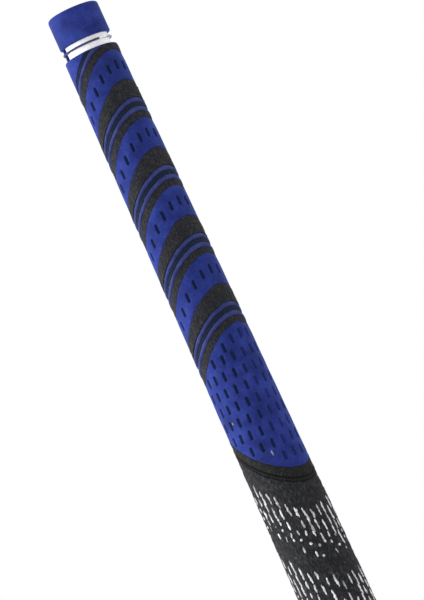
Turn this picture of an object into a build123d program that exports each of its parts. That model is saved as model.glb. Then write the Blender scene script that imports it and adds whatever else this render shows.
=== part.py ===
"""Golf grip of standard size, moulded from several rubber compounds over a tapered core.

Millimetres. Z runs along the bore, with the butt cap's flat face at Z = 0 and the open mouth, where the
shaft leaves, at the top. The maker's drawing counts from the mouth, so most places below are distances
"from the mouth", and height() turns one into a Z. The coloured compounds lie face to face in one skin:
its wavy rings are cut by slanted planes, each highest at one heading round the grip.
"""

from math import cos, radians, sin
import os

from build123d import *

os.makedirs("parts", exist_ok=True)

# Overall sizes
LENGTH = 267.0  # mouth face to butt face
MOUTH_BORE = 6.2  # bore radius at the mouth
BUTT_BORE = 7.62  # bore radius where the shaft stops, for a 0.600 inch shaft butt
MOUTH_WALL = 3.0  # rubber round the bore, at the mouth
BUTT_WALL = 4.7  # and as the same taper would reach it at the butt
SKIN = 1.6  # thickness of the outer compounds over the core

# Mouth end: a collar, then a neck with two painted grooves and a rib between them
COLLAR_LENGTH = 11.2
COLLAR_STEP = 0.17  # how far the collar stands inside the line of the body
MOUTH_ROUND = 1.2  # outer edge of the mouth
MOUTH_CHAMFER = 0.5  # lead-in of the bore
NECK_WALL = 1.2  # rubber under the paint
PAINT = 0.3  # thickness of the painted rings
MOUTH_RING_LENGTH = 1.5
RIB_LENGTH = 0.6
RIB_HEIGHT = 1.1  # above the paint
BODY_RING_LENGTH = 2.1
SHOULDER_ROUND = 0.9  # outer edge of the body where it rises from the neck

# Inlaid rings of the lower hand, all slanted the same way
RING_HEADING = -47.5  # degrees round the grip to the crest of each wave, from +X towards +Y
RING_SETS = 5
RING_STEP = 24.95
INLAY_DEPTH = 1.0
FIRST_BAND = 1.5  # middle of the first narrow band past the body's edge, at its crest
BAND_WIDTH = 2.3
BAND_SWING = 8.65  # half of a wave's height along the grip, here of the band's mouth-side edge
BAND_END_SWING = 10.25  # of its other edge
LINE_BACK = 3.8  # middle of the thin line, back towards the mouth from the band's
LINE_WIDTH = 1.4
LINE_SWING = 8.4
WIDE_BACK = 12.85  # mouth-side edge of the wide band, back from the narrow band's middle
WIDE_WIDTH = 6.45
WIDE_SWING = 10.0
WIDE_END_SWING = 8.2

# Long panel, break band and upper hand
PANEL_HEADING = -44.0  # here the panel reaches furthest down the grip
PANEL_SWING = 10.1
PANEL_LENGTH = 52.9  # from the last narrow band's middle to the break band, along the headings
BREAK_WIDTH = 4.8  # plain band between the two hands
CORD_PLY = 0.5  # thickness of the woven cord ply under the upper hand
PLY_MARGIN = 5.0  # from the ply's ends to the break band and to the cap

# Butt end
CAP_THICKNESS = 5.5
CAP_RIM = 13.7  # radius
CAP_FACE = 10.5  # radius of the flat face
CAP_ROUND = 2.6  # height of the turned edge
CAP_LAND = 0.5  # rim beyond the flared sleeve
FLARE_LENGTH = 26.0
SPIGOT_WALL = 1.4  # spigot radius over the butt bore
SPIGOT_LENGTH = 3.0
VENT = 1.6  # radius of the air vent
CAP_RING_INSIDE = 8.0
CAP_RING_WIDTH = 1.0
CAP_RING_DEPTH = 0.4


def height(from_mouth):
    return LENGTH - from_mouth


def body_radius(from_mouth):
    """Outer radius of the straight taper."""
    mouth, butt = MOUTH_BORE + MOUTH_WALL, BUTT_BORE + BUTT_WALL
    return mouth + (butt - mouth) * from_mouth / LENGTH


def core_radius(from_mouth):
    return body_radius(from_mouth) - SKIN


def tube(start, end, outer, inner):
    """Tapered tube between two distances from the mouth. outer and inner give a radius at a distance."""
    with BuildPart() as piece:
        with BuildSketch(Plane.XZ):
            with BuildLine():
                Polyline(
                    (inner(start), height(start)),
                    (outer(start), height(start)),
                    (outer(end), height(end)),
                    (inner(end), height(end)),
                    close=True,
                )
            make_face()
        revolve(axis=Axis.Z)
    return piece.part


def wave_plane(crest, swing, heading):
    """Slanted plane through the grip. It meets the surface at distance crest from the mouth at its heading,
    and twice the swing further on at the back. A negative swing slants it the other way."""
    slope = swing / body_radius(crest)
    tilted = (-slope * cos(radians(heading)), -slope * sin(radians(heading)), 1)
    return Plane(origin=(0, 0, height(crest + swing)), z_dir=tilted)


def finish(piece, name):
    piece.label = name
    export_step(piece, f"parts/{name}.step")


collar_end = COLLAR_LENGTH
rib_start = collar_end + MOUTH_RING_LENGTH
rib_end = rib_start + RIB_LENGTH
body_start = rib_end + BODY_RING_LENGTH
first_band = body_start + FIRST_BAND
last_band = first_band + (RING_SETS - 1) * RING_STEP
panel_end = last_band + PANEL_LENGTH
break_end = panel_end + BREAK_WIDTH
cap_start = LENGTH - CAP_THICKNESS
shaft_stop = cap_start - SPIGOT_LENGTH
neck_radius = MOUTH_BORE + NECK_WALL
paint_radius = neck_radius + PAINT
spigot_radius = BUTT_BORE + SPIGOT_WALL
flare_radius = CAP_RIM - CAP_LAND


# Mouth collar: the thick edge at the mouth, the neck behind it and the rib on the neck
with BuildPart() as mouth_collar:
    with BuildSketch(Plane.XZ):
        with BuildLine():
            Polyline(
                (MOUTH_BORE, height(body_start)),
                (neck_radius, height(body_start)),
                (neck_radius, height(rib_end)),
                (paint_radius + RIB_HEIGHT, height(rib_end)),
                (paint_radius + RIB_HEIGHT, height(rib_start)),
                (neck_radius, height(rib_start)),
                (neck_radius, height(collar_end)),
                (body_radius(0) - COLLAR_STEP, height(collar_end)),
                (body_radius(0) - COLLAR_STEP, height(0)),
                (MOUTH_BORE, height(0)),
                close=True,
            )
        make_face()
    revolve(axis=Axis.Z)
    mouth_edges = mouth_collar.edges().group_by(Axis.Z)[-1].sort_by(SortBy.RADIUS)
    fillet(mouth_edges[-1], MOUTH_ROUND)
    bore_edge = mouth_collar.edges().group_by(Axis.Z)[-1].sort_by(SortBy.RADIUS)[0]
    chamfer(bore_edge, MOUTH_CHAMFER)
finish(mouth_collar.part, "mouth_collar")

# White paint in the two grooves
for name, start, end in (
    ("white_ring_mouth", collar_end, rib_start),
    ("white_ring_body", rib_end, body_start),
):
    ring = tube(start, end, lambda at: paint_radius, lambda at: neck_radius)
    finish(ring, name)

# Core sleeve: the tapered rubber tube that grips the shaft, counterbored at the butt for the cap's spigot
with BuildPart() as core_sleeve:
    with BuildSketch(Plane.XZ):
        with BuildLine():
            Polyline(
                (MOUTH_BORE, height(body_start)),
                (core_radius(body_start), height(body_start)),
                (core_radius(cap_start), height(cap_start)),
                (spigot_radius, height(cap_start)),
                (spigot_radius, height(shaft_stop)),
                (BUTT_BORE, height(shaft_stop)),
                close=True,
            )
        make_face()
    revolve(axis=Axis.Z)
finish(core_sleeve.part, "core_sleeve")

# Blank of the lower hand's skin, with its shoulder rounded and its end slanted to the break band
with BuildPart() as skin_blank:
    add(tube(body_start, panel_end, body_radius, core_radius))
    shoulder = skin_blank.edges().group_by(Axis.Z)[-1].sort_by(SortBy.RADIUS)[-1]
    fillet(shoulder, SHOULDER_ROUND)
    split(bisect_by=wave_plane(panel_end, -PANEL_SWING, PANEL_HEADING), keep=Keep.TOP)

# What the inlays leave uncut under them
inlay_floor = tube(body_start - 1, panel_end + 1, lambda at: body_radius(at) - INLAY_DEPTH, lambda at: MOUTH_BORE)


def inlay(start_plane, end_plane):
    """Ring of the skin between two slanted planes, as deep as an inlay."""
    with BuildPart() as ring:
        add(skin_blank.part)
        split(bisect_by=start_plane, keep=Keep.BOTTOM)
        split(bisect_by=end_plane, keep=Keep.TOP)
        add(inlay_floor, mode=Mode.SUBTRACT)
    return ring.part


def ring_plane(crest, swing):
    return wave_plane(crest, swing, RING_HEADING)


# Each set has a narrow band and a thin line. Every set but the first has a wide band too.
inlays = {}
for count in range(RING_SETS):
    band = first_band + count * RING_STEP
    line = band - LINE_BACK
    inlays[f"band_inlay_{count + 1}"] = inlay(
        ring_plane(band - BAND_WIDTH / 2, BAND_SWING), ring_plane(band + BAND_WIDTH / 2, BAND_END_SWING)
    )
    inlays[f"line_inlay_{count + 1}"] = inlay(
        ring_plane(line - LINE_WIDTH / 2, LINE_SWING), ring_plane(line + LINE_WIDTH / 2, LINE_SWING)
    )
    if count:
        wide = band - WIDE_BACK
        inlays[f"wide_inlay_{count}"] = inlay(
            ring_plane(wide, WIDE_SWING), ring_plane(wide + WIDE_WIDTH, WIDE_END_SWING)
        )

# Lower skin: the coloured compound of the lower hand, grooved for the inlays
with BuildPart() as lower_skin:
    add(skin_blank.part)
    for ring in inlays.values():
        add(ring, mode=Mode.SUBTRACT)
finish(lower_skin.part, "lower_skin")
for name, ring in inlays.items():
    finish(ring, name)

# Break band: the plain ring between the two hands, slanted at both edges
panel_plane = wave_plane(panel_end, -PANEL_SWING, PANEL_HEADING)
break_plane = wave_plane(break_end, -PANEL_SWING, PANEL_HEADING)
slanted_from = panel_end - 2 * PANEL_SWING - BREAK_WIDTH
with BuildPart() as break_band:
    add(tube(slanted_from, break_end + 1, body_radius, core_radius))
    split(bisect_by=panel_plane, keep=Keep.BOTTOM)
    split(bisect_by=break_plane, keep=Keep.TOP)
finish(break_band.part, "break_band")

# Cord ply: woven cotton cord under the black rubber, which it strengthens and shows through
ply_start = break_end + PLY_MARGIN
ply_end = cap_start - PLY_MARGIN
cord_ply = tube(ply_start, ply_end, lambda at: core_radius(at) + CORD_PLY, core_radius)
finish(cord_ply, "cord_ply")

# Cord sleeve: the black rubber of the upper hand, which flares out to meet the cap
flare_start = cap_start - FLARE_LENGTH
flare_rise = body_radius(cap_start) - body_radius(flare_start)
with BuildPart() as cord_sleeve:
    with BuildSketch(Plane.XZ):
        with BuildLine():
            Polyline(
                (body_radius(flare_start), height(flare_start)),
                (body_radius(slanted_from), height(slanted_from)),
                (core_radius(slanted_from), height(slanted_from)),
                (core_radius(cap_start), height(cap_start)),
                (flare_radius, height(cap_start)),
            )
            Spline(
                (body_radius(flare_start), height(flare_start)),
                (flare_radius, height(cap_start)),
                tangents=((flare_rise, -FLARE_LENGTH), (2 * flare_rise + CAP_LAND, -FLARE_LENGTH)),
            )
        make_face()
    revolve(axis=Axis.Z)
    split(bisect_by=break_plane, keep=Keep.BOTTOM)
    add(cord_ply, mode=Mode.SUBTRACT)
finish(cord_sleeve.part, "cord_sleeve")

# Butt cap: a turned-edge disc with a spigot that plugs the core, an air vent and a groove for its ring
with BuildPart() as butt_cap:
    with BuildSketch(Plane.XZ):
        with BuildLine():
            Polyline(
                (CAP_RIM, CAP_ROUND),
                (CAP_RIM, CAP_THICKNESS - CAP_LAND),
                (flare_radius, CAP_THICKNESS),
                (spigot_radius, CAP_THICKNESS),
                (spigot_radius, CAP_THICKNESS + SPIGOT_LENGTH),
                (0, CAP_THICKNESS + SPIGOT_LENGTH),
                (0, 0),
                (CAP_FACE, 0),
            )
            EllipticalCenterArc(
                (CAP_FACE, CAP_ROUND), CAP_RIM - CAP_FACE, CAP_ROUND, start_angle=270, arc_size=90
            )
        make_face()
    revolve(axis=Axis.Z)
    with BuildSketch(Plane.XY):
        Circle(CAP_RING_INSIDE + CAP_RING_WIDTH)
        Circle(CAP_RING_INSIDE, mode=Mode.SUBTRACT)
    extrude(amount=CAP_RING_DEPTH, mode=Mode.SUBTRACT)
    with BuildSketch(Plane.XY):
        Circle(VENT)
    extrude(amount=CAP_THICKNESS + SPIGOT_LENGTH, mode=Mode.SUBTRACT)
finish(butt_cap.part, "butt_cap")

# Cap ring: white paint filling that groove
with BuildPart() as cap_ring:
    with BuildSketch(Plane.XY):
        Circle(CAP_RING_INSIDE + CAP_RING_WIDTH)
        Circle(CAP_RING_INSIDE, mode=Mode.SUBTRACT)
    extrude(amount=CAP_RING_DEPTH)
finish(cap_ring.part, "cap_ring")
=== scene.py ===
# %% [markdown]
# # A moulded golf grip
# A golf grip is one rubber sleeve, but it is laid up from many strips: a blue compound for the lower
# hand, black fibrous strips inlaid in slanted rings, and a black cord rubber for the upper hand, with
# cotton thread standing through it. We load the measured model as a fixed frame first, so that every
# surface we add has a true place, and we keep its box.

import bpy
import numpy as np
from mathutils import Matrix, Vector


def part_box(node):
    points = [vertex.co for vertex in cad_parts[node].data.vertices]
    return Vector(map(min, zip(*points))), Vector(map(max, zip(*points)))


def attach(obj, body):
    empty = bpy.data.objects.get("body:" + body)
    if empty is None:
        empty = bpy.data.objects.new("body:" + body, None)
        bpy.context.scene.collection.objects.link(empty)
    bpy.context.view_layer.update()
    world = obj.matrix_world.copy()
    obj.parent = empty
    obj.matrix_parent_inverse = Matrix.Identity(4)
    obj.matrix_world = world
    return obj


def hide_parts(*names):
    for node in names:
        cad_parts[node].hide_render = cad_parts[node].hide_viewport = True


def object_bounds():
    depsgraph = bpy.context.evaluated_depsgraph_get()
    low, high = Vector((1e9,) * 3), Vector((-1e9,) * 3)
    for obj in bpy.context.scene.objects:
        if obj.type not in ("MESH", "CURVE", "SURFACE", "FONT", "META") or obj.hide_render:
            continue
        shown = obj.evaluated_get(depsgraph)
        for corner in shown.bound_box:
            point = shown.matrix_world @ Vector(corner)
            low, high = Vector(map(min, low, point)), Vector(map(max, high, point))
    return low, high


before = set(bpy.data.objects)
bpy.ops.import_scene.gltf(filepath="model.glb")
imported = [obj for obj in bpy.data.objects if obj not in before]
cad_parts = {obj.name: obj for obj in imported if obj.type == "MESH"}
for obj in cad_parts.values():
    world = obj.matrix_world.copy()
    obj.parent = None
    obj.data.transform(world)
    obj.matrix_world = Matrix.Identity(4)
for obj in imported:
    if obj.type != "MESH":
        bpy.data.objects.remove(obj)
cad_low, cad_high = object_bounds()
print("nodes in the frame:", len(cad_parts))

# %% [markdown]
# ## Counting from the mouth
# The grip stands on its cap, with its open mouth at the top, but its pattern is laid out from the
# mouth. So all our places are millimetres from the mouth, turned into heights at the last moment.
# The body is a straight taper. We could copy its two radii, but reading them off the frame's own
# vertices keeps the looks on the model if the model changes.

# %% Lengths and the taper
MM = 0.001
LENGTH = cad_high.z / MM


def span(node):
    """Start and end of a frame node, in millimetres from the mouth."""
    low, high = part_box(node)
    return LENGTH - high.z / MM, LENGTH - low.z / MM


def outer_line(node):
    """Slope and value at the mouth of the straight line through a node's outermost vertices: a least
    squares line, fitted again to the vertices that lie more than 0.2 mm outside it."""
    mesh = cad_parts[node].data
    points = np.empty(len(mesh.vertices) * 3, np.float32)
    mesh.vertices.foreach_get("co", points)
    points = points.reshape(-1, 3) / MM
    radius = np.hypot(points[:, 0], points[:, 1])
    place = LENGTH - points[:, 2]
    line = np.polyfit(place, radius, 1)
    outside = radius > np.polyval(line, place) + 0.2
    return np.polyfit(place[outside], radius[outside], 1)


TAPER, MOUTH_RADIUS = outer_line("wide_inlay_2")
CORE_STEP = 1.6  # from the body's surface down to the core
INLAY_DEPTH = 1.0
BODY_START = span("lower_skin")[0]
CAP_START = span("cord_sleeve")[1]
print(f"taper {TAPER:.5f}, radius at the mouth {MOUTH_RADIUS:.2f} mm, body from {BODY_START:.1f} mm")


def body_radius(place):
    return MOUTH_RADIUS + TAPER * place


# %% [markdown]
# ## Waves
# Every ring is a slanted cut through the round body. Unrolled, such a cut is a cosine wave, so one
# formula serves every edge. The rings of the lower hand crest at one heading. The edges of a ring swing
# by different amounts, so it widens or narrows on its way round. The long panel and the whole upper
# hand follow another wave that swings the other way.

# %% The waves
RING_HEADING = np.radians(-47.5)
PANEL_HEADING = np.radians(-44.0)
PANEL_SWING = 10.1
FRONT = np.radians(-90.0)  # the heading that faces the camera


def wave(turn, crest, swing, heading=RING_HEADING):
    """Distance from the mouth of a slanted cut: the crest, plus the swing times one minus the cosine of
    the angle from the heading."""
    return crest + swing * (1 - np.cos(turn - heading))


def back_wave(turn, reach):
    """The panel's wave: it reaches furthest from the mouth at its heading."""
    return wave(turn, reach, -PANEL_SWING, PANEL_HEADING)


# %% [markdown]
# ## Grain
# Moulded rubber is never quite even. We want a small unevenness that is real shape, so it has to be a
# function of place that numpy can work out for a whole surface at once. Value noise does that: random
# heights at the knots of a net, eased from knot to knot, with the net closing round the grip.

# %% Noise on the grip's surface
MEAN_RADIUS = 10.5


def grain(turn, place, cell, seed, stretch=1.0):
    """Value noise from -1 to 1. The knots lie cell apart round the grip and cell times stretch along it,
    and between them the heights are blended by the smooth step 3t2 - 2t3."""
    round_count = max(8, int(2 * np.pi * MEAN_RADIUS / cell))
    long_count = int(LENGTH * 1.2 / (cell * stretch)) + 4
    knots = np.random.default_rng(seed).uniform(-1, 1, (long_count, round_count))
    across = (turn / (2 * np.pi)) % 1.0 * round_count
    along = np.clip(place / (cell * stretch) + 2, 0, long_count - 2)
    column, row = np.floor(across).astype(int), np.floor(along).astype(int)
    s, t = across - column, along - row
    s, t = s * s * (3 - 2 * s), t * t * (3 - 2 * t)
    left, right = column % round_count, (column + 1) % round_count
    top = knots[row, left] * (1 - s) + knots[row, right] * s
    bottom = knots[row + 1, left] * (1 - s) + knots[row + 1, right] * s
    return top * (1 - t) + bottom * t


def ease(value, low, high):
    """Smooth step from 0 at low to 1 at high."""
    t = np.clip((value - low) / (high - low), 0, 1)
    return t * t * (3 - 2 * t)


# %% [markdown]
# ## Putting a surface into Blender
# Each piece below is a grid of points: rows along the grip, columns round it. One function turns such
# a grid into a mesh. It joins the last row to the first where the section is a closed loop, and the
# last column to the first where the piece runs all the way round, and it turns the faces outwards by
# looking at the sign of the volume that they enclose.

# %% Grid to mesh
def to_xyz(turn, place, radius):
    """Points in metres from a heading, a distance from the mouth and a radius, both in millimetres."""
    turn, place, radius = np.broadcast_arrays(turn, place, radius)
    return np.stack([radius * np.cos(turn), radius * np.sin(turn), LENGTH - place], -1) * MM


def grid_faces(rows, columns, close_rows, close_columns):
    """Quads between neighbouring knots of the grid, as rows of four indices."""
    r = np.arange(rows if close_rows else rows - 1)
    c = np.arange(columns if close_columns else columns - 1)
    r, c = np.meshgrid(r, c, indexing="ij")
    below, beside = (r + 1) % rows, (c + 1) % columns
    return np.stack(
        [r * columns + c, r * columns + beside, below * columns + beside, below * columns + c], -1
    ).reshape(-1, 4)


def make_mesh(name, points, faces, extra=(), marks=None):
    """Mesh object from an array of points and an array of quads. extra holds faces of other sizes, and
    marks holds one number per point for each named attribute."""
    points = np.asarray(points, float).reshape(-1, 3)
    a, b, c, d = (points[faces[:, k]] for k in range(4))
    volume = np.einsum("ij,ij->", a, np.cross(b, c)) + np.einsum("ij,ij->", a, np.cross(c, d))
    lists = faces.tolist() + [list(face) for face in extra]
    if volume < 0:
        lists = [face[::-1] for face in lists]
    mesh = bpy.data.meshes.new(name)
    mesh.from_pydata(points, [], lists)
    mesh.polygons.foreach_set("use_smooth", np.ones(len(mesh.polygons), bool))
    for key, values in (marks or {}).items():
        attribute = mesh.attributes.new(key, "FLOAT", "POINT")
        attribute.data.foreach_set("value", np.asarray(values, np.float32).ravel())
    mesh.validate()
    mesh.update()
    piece = bpy.data.objects.new(name, mesh)
    bpy.context.scene.collection.objects.link(piece)
    return piece


def place_piece(piece, material, slot, *nodes):
    """Finish a piece: its material, its body and the frame nodes it replaces. slot, the slot it stands for,
    is not used.
    """
    piece.data.materials.append(material)
    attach(piece, "root")
    if nodes:
        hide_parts(*nodes)
    print(f"{piece.name}: {len(piece.data.polygons)} faces")
    return piece


# %% [markdown]
# ## Rubber, paint and cotton
# Each finish is built from nodes. The blue compound is matt with a soft bloom, so its roughness is
# high and a little sheen lifts its edges. Its colour drifts slowly and its fine buffed grain is a
# bump. Where a slot is cut, an attribute on the mesh says how dark the slot is, and the colour falls
# towards black with it: partly dirt, partly painted shade in the recess. Other attributes mark the
# rib, the paint and the painted shade at the edges of the blue stripes.

# %% A small kit for node trees
def new_material(name):
    """Material with a cleared tree, its Principled shader and the object coordinates."""
    material = bpy.data.materials.new(name)
    material.use_nodes = True
    tree = material.node_tree
    tree.nodes.clear()
    output = tree.nodes.new("ShaderNodeOutputMaterial")
    shader = tree.nodes.new("ShaderNodeBsdfPrincipled")
    tree.links.new(shader.outputs["BSDF"], output.inputs["Surface"])
    coordinates = tree.nodes.new("ShaderNodeTexCoord").outputs["Object"]
    return material, tree, shader, coordinates


def noise(tree, vector, scale, detail=3.0, roughness=0.5, stretch=(1, 1, 1)):
    """Noise of a given number of cells per metre, stretched by a mapping where asked."""
    if stretch != (1, 1, 1):
        mapping = tree.nodes.new("ShaderNodeMapping")
        mapping.inputs["Scale"].default_value = stretch
        tree.links.new(vector, mapping.inputs["Vector"])
        vector = mapping.outputs["Vector"]
    node = tree.nodes.new("ShaderNodeTexNoise")
    node.inputs["Scale"].default_value = scale
    node.inputs["Detail"].default_value = detail
    node.inputs["Roughness"].default_value = roughness
    tree.links.new(vector, node.inputs["Vector"])
    return node.outputs["Fac"]


def ramp(tree, factor, *stops):
    """Colour ramp through (position, colour) stops."""
    node = tree.nodes.new("ShaderNodeValToRGB")
    elements = node.color_ramp.elements
    while len(elements) < len(stops):
        elements.new(1.0)
    for element, (position, colour) in zip(elements, stops):
        element.position = position
        element.color = (*colour, 1.0)
    tree.links.new(factor, node.inputs["Fac"])
    return node.outputs["Color"]


def mix(tree, factor, first, second, blend="MIX"):
    """Colour mix. factor is a socket or a number, and second a socket or a colour."""
    node = tree.nodes.new("ShaderNodeMix")
    node.data_type = "RGBA"
    node.blend_type = blend
    for key, value in (("Factor", factor), ("A", first), ("B", second)):
        socket = next(s for s in node.inputs if s.name == key and s.type in ("RGBA", "VALUE") and s.enabled)
        if isinstance(value, bpy.types.NodeSocket):
            tree.links.new(value, socket)
        else:
            socket.default_value = value if key == "Factor" else (*value, 1.0)
    return next(s for s in node.outputs if s.type == "RGBA")


def product(tree, first, second):
    """Product of two sockets, clamped to 0 and 1."""
    node = tree.nodes.new("ShaderNodeMath")
    node.operation = "MULTIPLY"
    node.use_clamp = True
    for socket, value in zip(node.inputs, (first, second)):
        tree.links.new(value, socket)
    return node.outputs["Value"]


def mark(tree, name):
    """A piece's own attribute, as a factor."""
    node = tree.nodes.new("ShaderNodeAttribute")
    node.attribute_name = name
    return node.outputs["Fac"]


def bump(tree, shader, *layers):
    """Chain of bumps on the shader's normal. Each layer is (height socket, depth in metres)."""
    last = None
    for height, depth in layers:
        node = tree.nodes.new("ShaderNodeBump")
        node.inputs["Strength"].default_value = 1.0
        node.inputs["Distance"].default_value = depth
        tree.links.new(height, node.inputs["Height"])
        if last is not None:
            tree.links.new(last, node.inputs["Normal"])
        last = node.outputs["Normal"]
    tree.links.new(last, shader.inputs["Normal"])


# %% The blue compound
DEEP_BLUE = (0.012, 0.020, 0.118)
MID_BLUE = (0.016, 0.027, 0.170)
PALE_BLUE = (0.022, 0.039, 0.215)
# the slots' dark colour: partly dirt, partly painted shade in the recess
SLOT_DIRT_AND_SHADE = (0.004, 0.010, 0.040)
# painted shade at the edges of the blue stripes, where their crowns fall away
STRIPE_EDGE_SHADE = (0.008, 0.014, 0.050)
DRIED_PAINT = (0.80, 0.80, 0.84)
RIB_SHADE = (0.055, 0.046, 0.105)


def blue_rubber(name, tint=(1, 1, 1), marks=()):
    """Royal blue rubber, matt, with a slow drift of tone, patches and a fine grain. marks holds pairs of
    an attribute's name and the colour that the rubber takes where the attribute is 1."""
    material, tree, shader, at = new_material(name)
    drift = noise(tree, at, 190, 2.0)
    patch = noise(tree, at, 620, 2.0, 0.6)
    fine = noise(tree, at, 2100, 4.0, 0.65)
    deep, mid, pale = (
        tuple(value * t for value, t in zip(tone, tint)) for tone in (DEEP_BLUE, MID_BLUE, PALE_BLUE)
    )
    colour = ramp(tree, drift, (0.3, deep), (0.5, mid), (0.72, pale))
    patches = ramp(tree, patch, (0.3, (0.80, 0.83, 0.86)), (0.7, (1.18, 1.15, 1.10)))
    speckle = ramp(tree, fine, (0.3, (0.62, 0.65, 0.70)), (0.7, (1.32, 1.27, 1.22)))
    colour = mix(tree, 0.75, colour, patches, "MULTIPLY")
    colour = mix(tree, 0.75, colour, speckle, "MULTIPLY")
    for key, stain in marks:
        colour = mix(tree, mark(tree, key), colour, stain)
    tree.links.new(colour, shader.inputs["Base Color"])
    rough = ramp(tree, fine, (0.2, (0.70,) * 3), (0.8, (0.85,) * 3))
    tree.links.new(rough, shader.inputs["Roughness"])
    shader.inputs["Specular IOR Level"].default_value = 0.07
    shader.inputs["Sheen Weight"].default_value = 0.3
    shader.inputs["Sheen Roughness"].default_value = 0.4
    shader.inputs["Sheen Tint"].default_value = (0.22, 0.38, 1.0, 1.0)
    bump(tree, shader, (drift, 0.0002), (patch, 0.0001), (fine, 0.00009))
    return material


BLUE = blue_rubber("blue_rubber")
BLUE_SLOTTED = blue_rubber("blue_rubber_slotted", marks=[("slot", SLOT_DIRT_AND_SHADE)])
BLUE_COLLAR = blue_rubber("blue_rubber_collar", marks=[("rib", RIB_SHADE), ("paint", DRIED_PAINT)])
# the stripes' blue is tinted lighter and greyer than the fields': a painted highlight on their crowns
PIPING = blue_rubber("blue_rubber_piping", (1.9, 1.4, 0.82), marks=[("edge_shade", STRIPE_EDGE_SHADE)])


# %% [markdown]
# The black compounds carry ground fibre. Up close they are not black at all: a dark ground, dull
# brown-grey fibres lying mostly along the grip, and pits between them. The same recipe serves the
# inlays and the upper hand, with different amounts of fibre.

# %% The black compounds
def fibre_rubber(name, ground, warm, cool, amount, along=0.75):
    """Dark rubber with fibres of two colours. amount moves the threshold at which the stretched noise
    shows fibre, and a slower noise decides whether a fibre is of the warm or the cool colour. along is the
    noise's scale down the grip, so less of it draws the fibres out. Where the attribute groove is 1, the
    rubber is darkened: painted shade in the groove."""
    material, tree, shader, at = new_material(name)
    strands = noise(tree, at, 1450, 4.0, 0.65, (1, 1, along))
    blotch = noise(tree, at, 420, 2.0)
    dye = noise(tree, at, 780, 1.0)
    pits = noise(tree, at, 2400, 2.0, 0.6)
    shown = ramp(tree, strands, (0.60 - amount, (0, 0, 0)), (0.76 - amount * 0.6, (1, 1, 1)))
    patch = ramp(tree, blotch, (0.35, (0.3,) * 3), (0.65, (1, 1, 1)))
    factor = product(tree, shown, patch)
    fibre = ramp(tree, dye, (0.44, cool), (0.56, warm))
    colour = mix(tree, factor, ground, fibre)
    # painted shade: the rubber is darkened in its grooves
    shade = ramp(tree, mark(tree, "groove"), (0.0, (1, 1, 1)), (1.0, (0.3, 0.28, 0.34)))
    colour = mix(tree, 1.0, colour, shade, "MULTIPLY")
    tree.links.new(colour, shader.inputs["Base Color"])
    rough = ramp(tree, strands, (0.3, (0.9,) * 3), (0.8, (0.66,) * 3))
    tree.links.new(rough, shader.inputs["Roughness"])
    shader.inputs["Specular IOR Level"].default_value = 0.08
    shader.inputs["Sheen Weight"].default_value = 0.02
    shader.inputs["Sheen Roughness"].default_value = 0.5
    bump(tree, shader, (blotch, 0.00025), (strands, 0.00022), (pits, 0.00008))
    return material


INLAY = fibre_rubber(
    "inlay_rubber", (0.013, 0.014, 0.018), (0.044, 0.038, 0.033), (0.032, 0.035, 0.042), amount=0.17
)
LINE_BLACK = fibre_rubber(
    "line_rubber", (0.008, 0.013, 0.028), (0.018, 0.026, 0.038), (0.012, 0.024, 0.052), amount=0.08
)
BREAK = fibre_rubber(
    "break_rubber", (0.011, 0.0115, 0.012), (0.046, 0.040, 0.027), (0.026, 0.027, 0.029), amount=0.12
)
CORD_BLACK = fibre_rubber(
    "cord_rubber", (0.013, 0.0135, 0.0155), (0.054, 0.053, 0.054), (0.042, 0.043, 0.048),
    amount=0.16, along=0.6,
)


# %% White paint and cotton
def white_paint(name):
    """Thick enamel in a groove: nearly white, slightly uneven, with a soft gloss."""
    material, tree, shader, at = new_material(name)
    cloud = noise(tree, at, 500, 2.0)
    colour = ramp(tree, cloud, (0.3, (0.84, 0.84, 0.87)), (0.7, (0.94, 0.94, 0.95)))
    tree.links.new(colour, shader.inputs["Base Color"])
    shader.inputs["Roughness"].default_value = 0.38
    shader.inputs["Coat Weight"].default_value = 0.25
    shader.inputs["Coat Roughness"].default_value = 0.25
    bump(tree, shader, (cloud, 0.00004))
    return material


def cotton(name):
    """Twisted cotton thread: off-white, matt, greyer where rubber has rubbed into it."""
    material, tree, shader, at = new_material(name)
    wear = noise(tree, at, 900, 3.0, 0.6)
    twist = noise(tree, at, 5200, 2.0, 0.6, (1, 1, 0.5))
    thread = ((0.30, (0.36, 0.36, 0.38)), (0.52, (0.70, 0.70, 0.72)), (0.7, (0.82, 0.82, 0.83)))
    colour = mix(tree, mark(tree, "rubbed"), ramp(tree, wear, *thread), (0.08, 0.082, 0.095))
    tree.links.new(colour, shader.inputs["Base Color"])
    shader.inputs["Roughness"].default_value = 0.9
    shader.inputs["Specular IOR Level"].default_value = 0.2
    shader.inputs["Sheen Weight"].default_value = 0.3
    shader.inputs["Sheen Roughness"].default_value = 0.4
    bump(tree, shader, (twist, 0.00006))
    return material


WHITE = white_paint("white_paint")
COTTON = cotton("cotton_cord")


# %% [markdown]
# ## Strips laid round the body
# The coloured strips all have the same build: an outer face with slightly rounded edges, two side
# walls down into the body and a floor. So one function lays any of them. It takes the two edges as
# functions of the heading, fills the width between them with rows that crowd towards the edges, and
# asks a relief function for the height of each point. The section is a closed loop, carried once
# round the grip, so a full strip is a ring with no ends. A strip that the mouth-side end of the body
# cuts off is an open run, tapered to a thin end and capped.

# %% One function for every strip
EDGE_ROUND = 0.22
EDGE_DROP = 0.14
GAP = 0.012  # strips stay this far from their shared edge
SHOULDER = 0.9
EDGE_WANDER, EDGE_DRIFT = 0.13, 0.09  # how far an edge strays over about 1 mm, and over 2.6 mm


def shoulder_drop(place):
    """How far the rounded shoulder falls below the taper: a quarter circle at the body's mouth end."""
    inside = np.clip(SHOULDER - (place - BODY_START), 0, SHOULDER)
    return SHOULDER - np.sqrt(SHOULDER**2 - inside**2)


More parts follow.
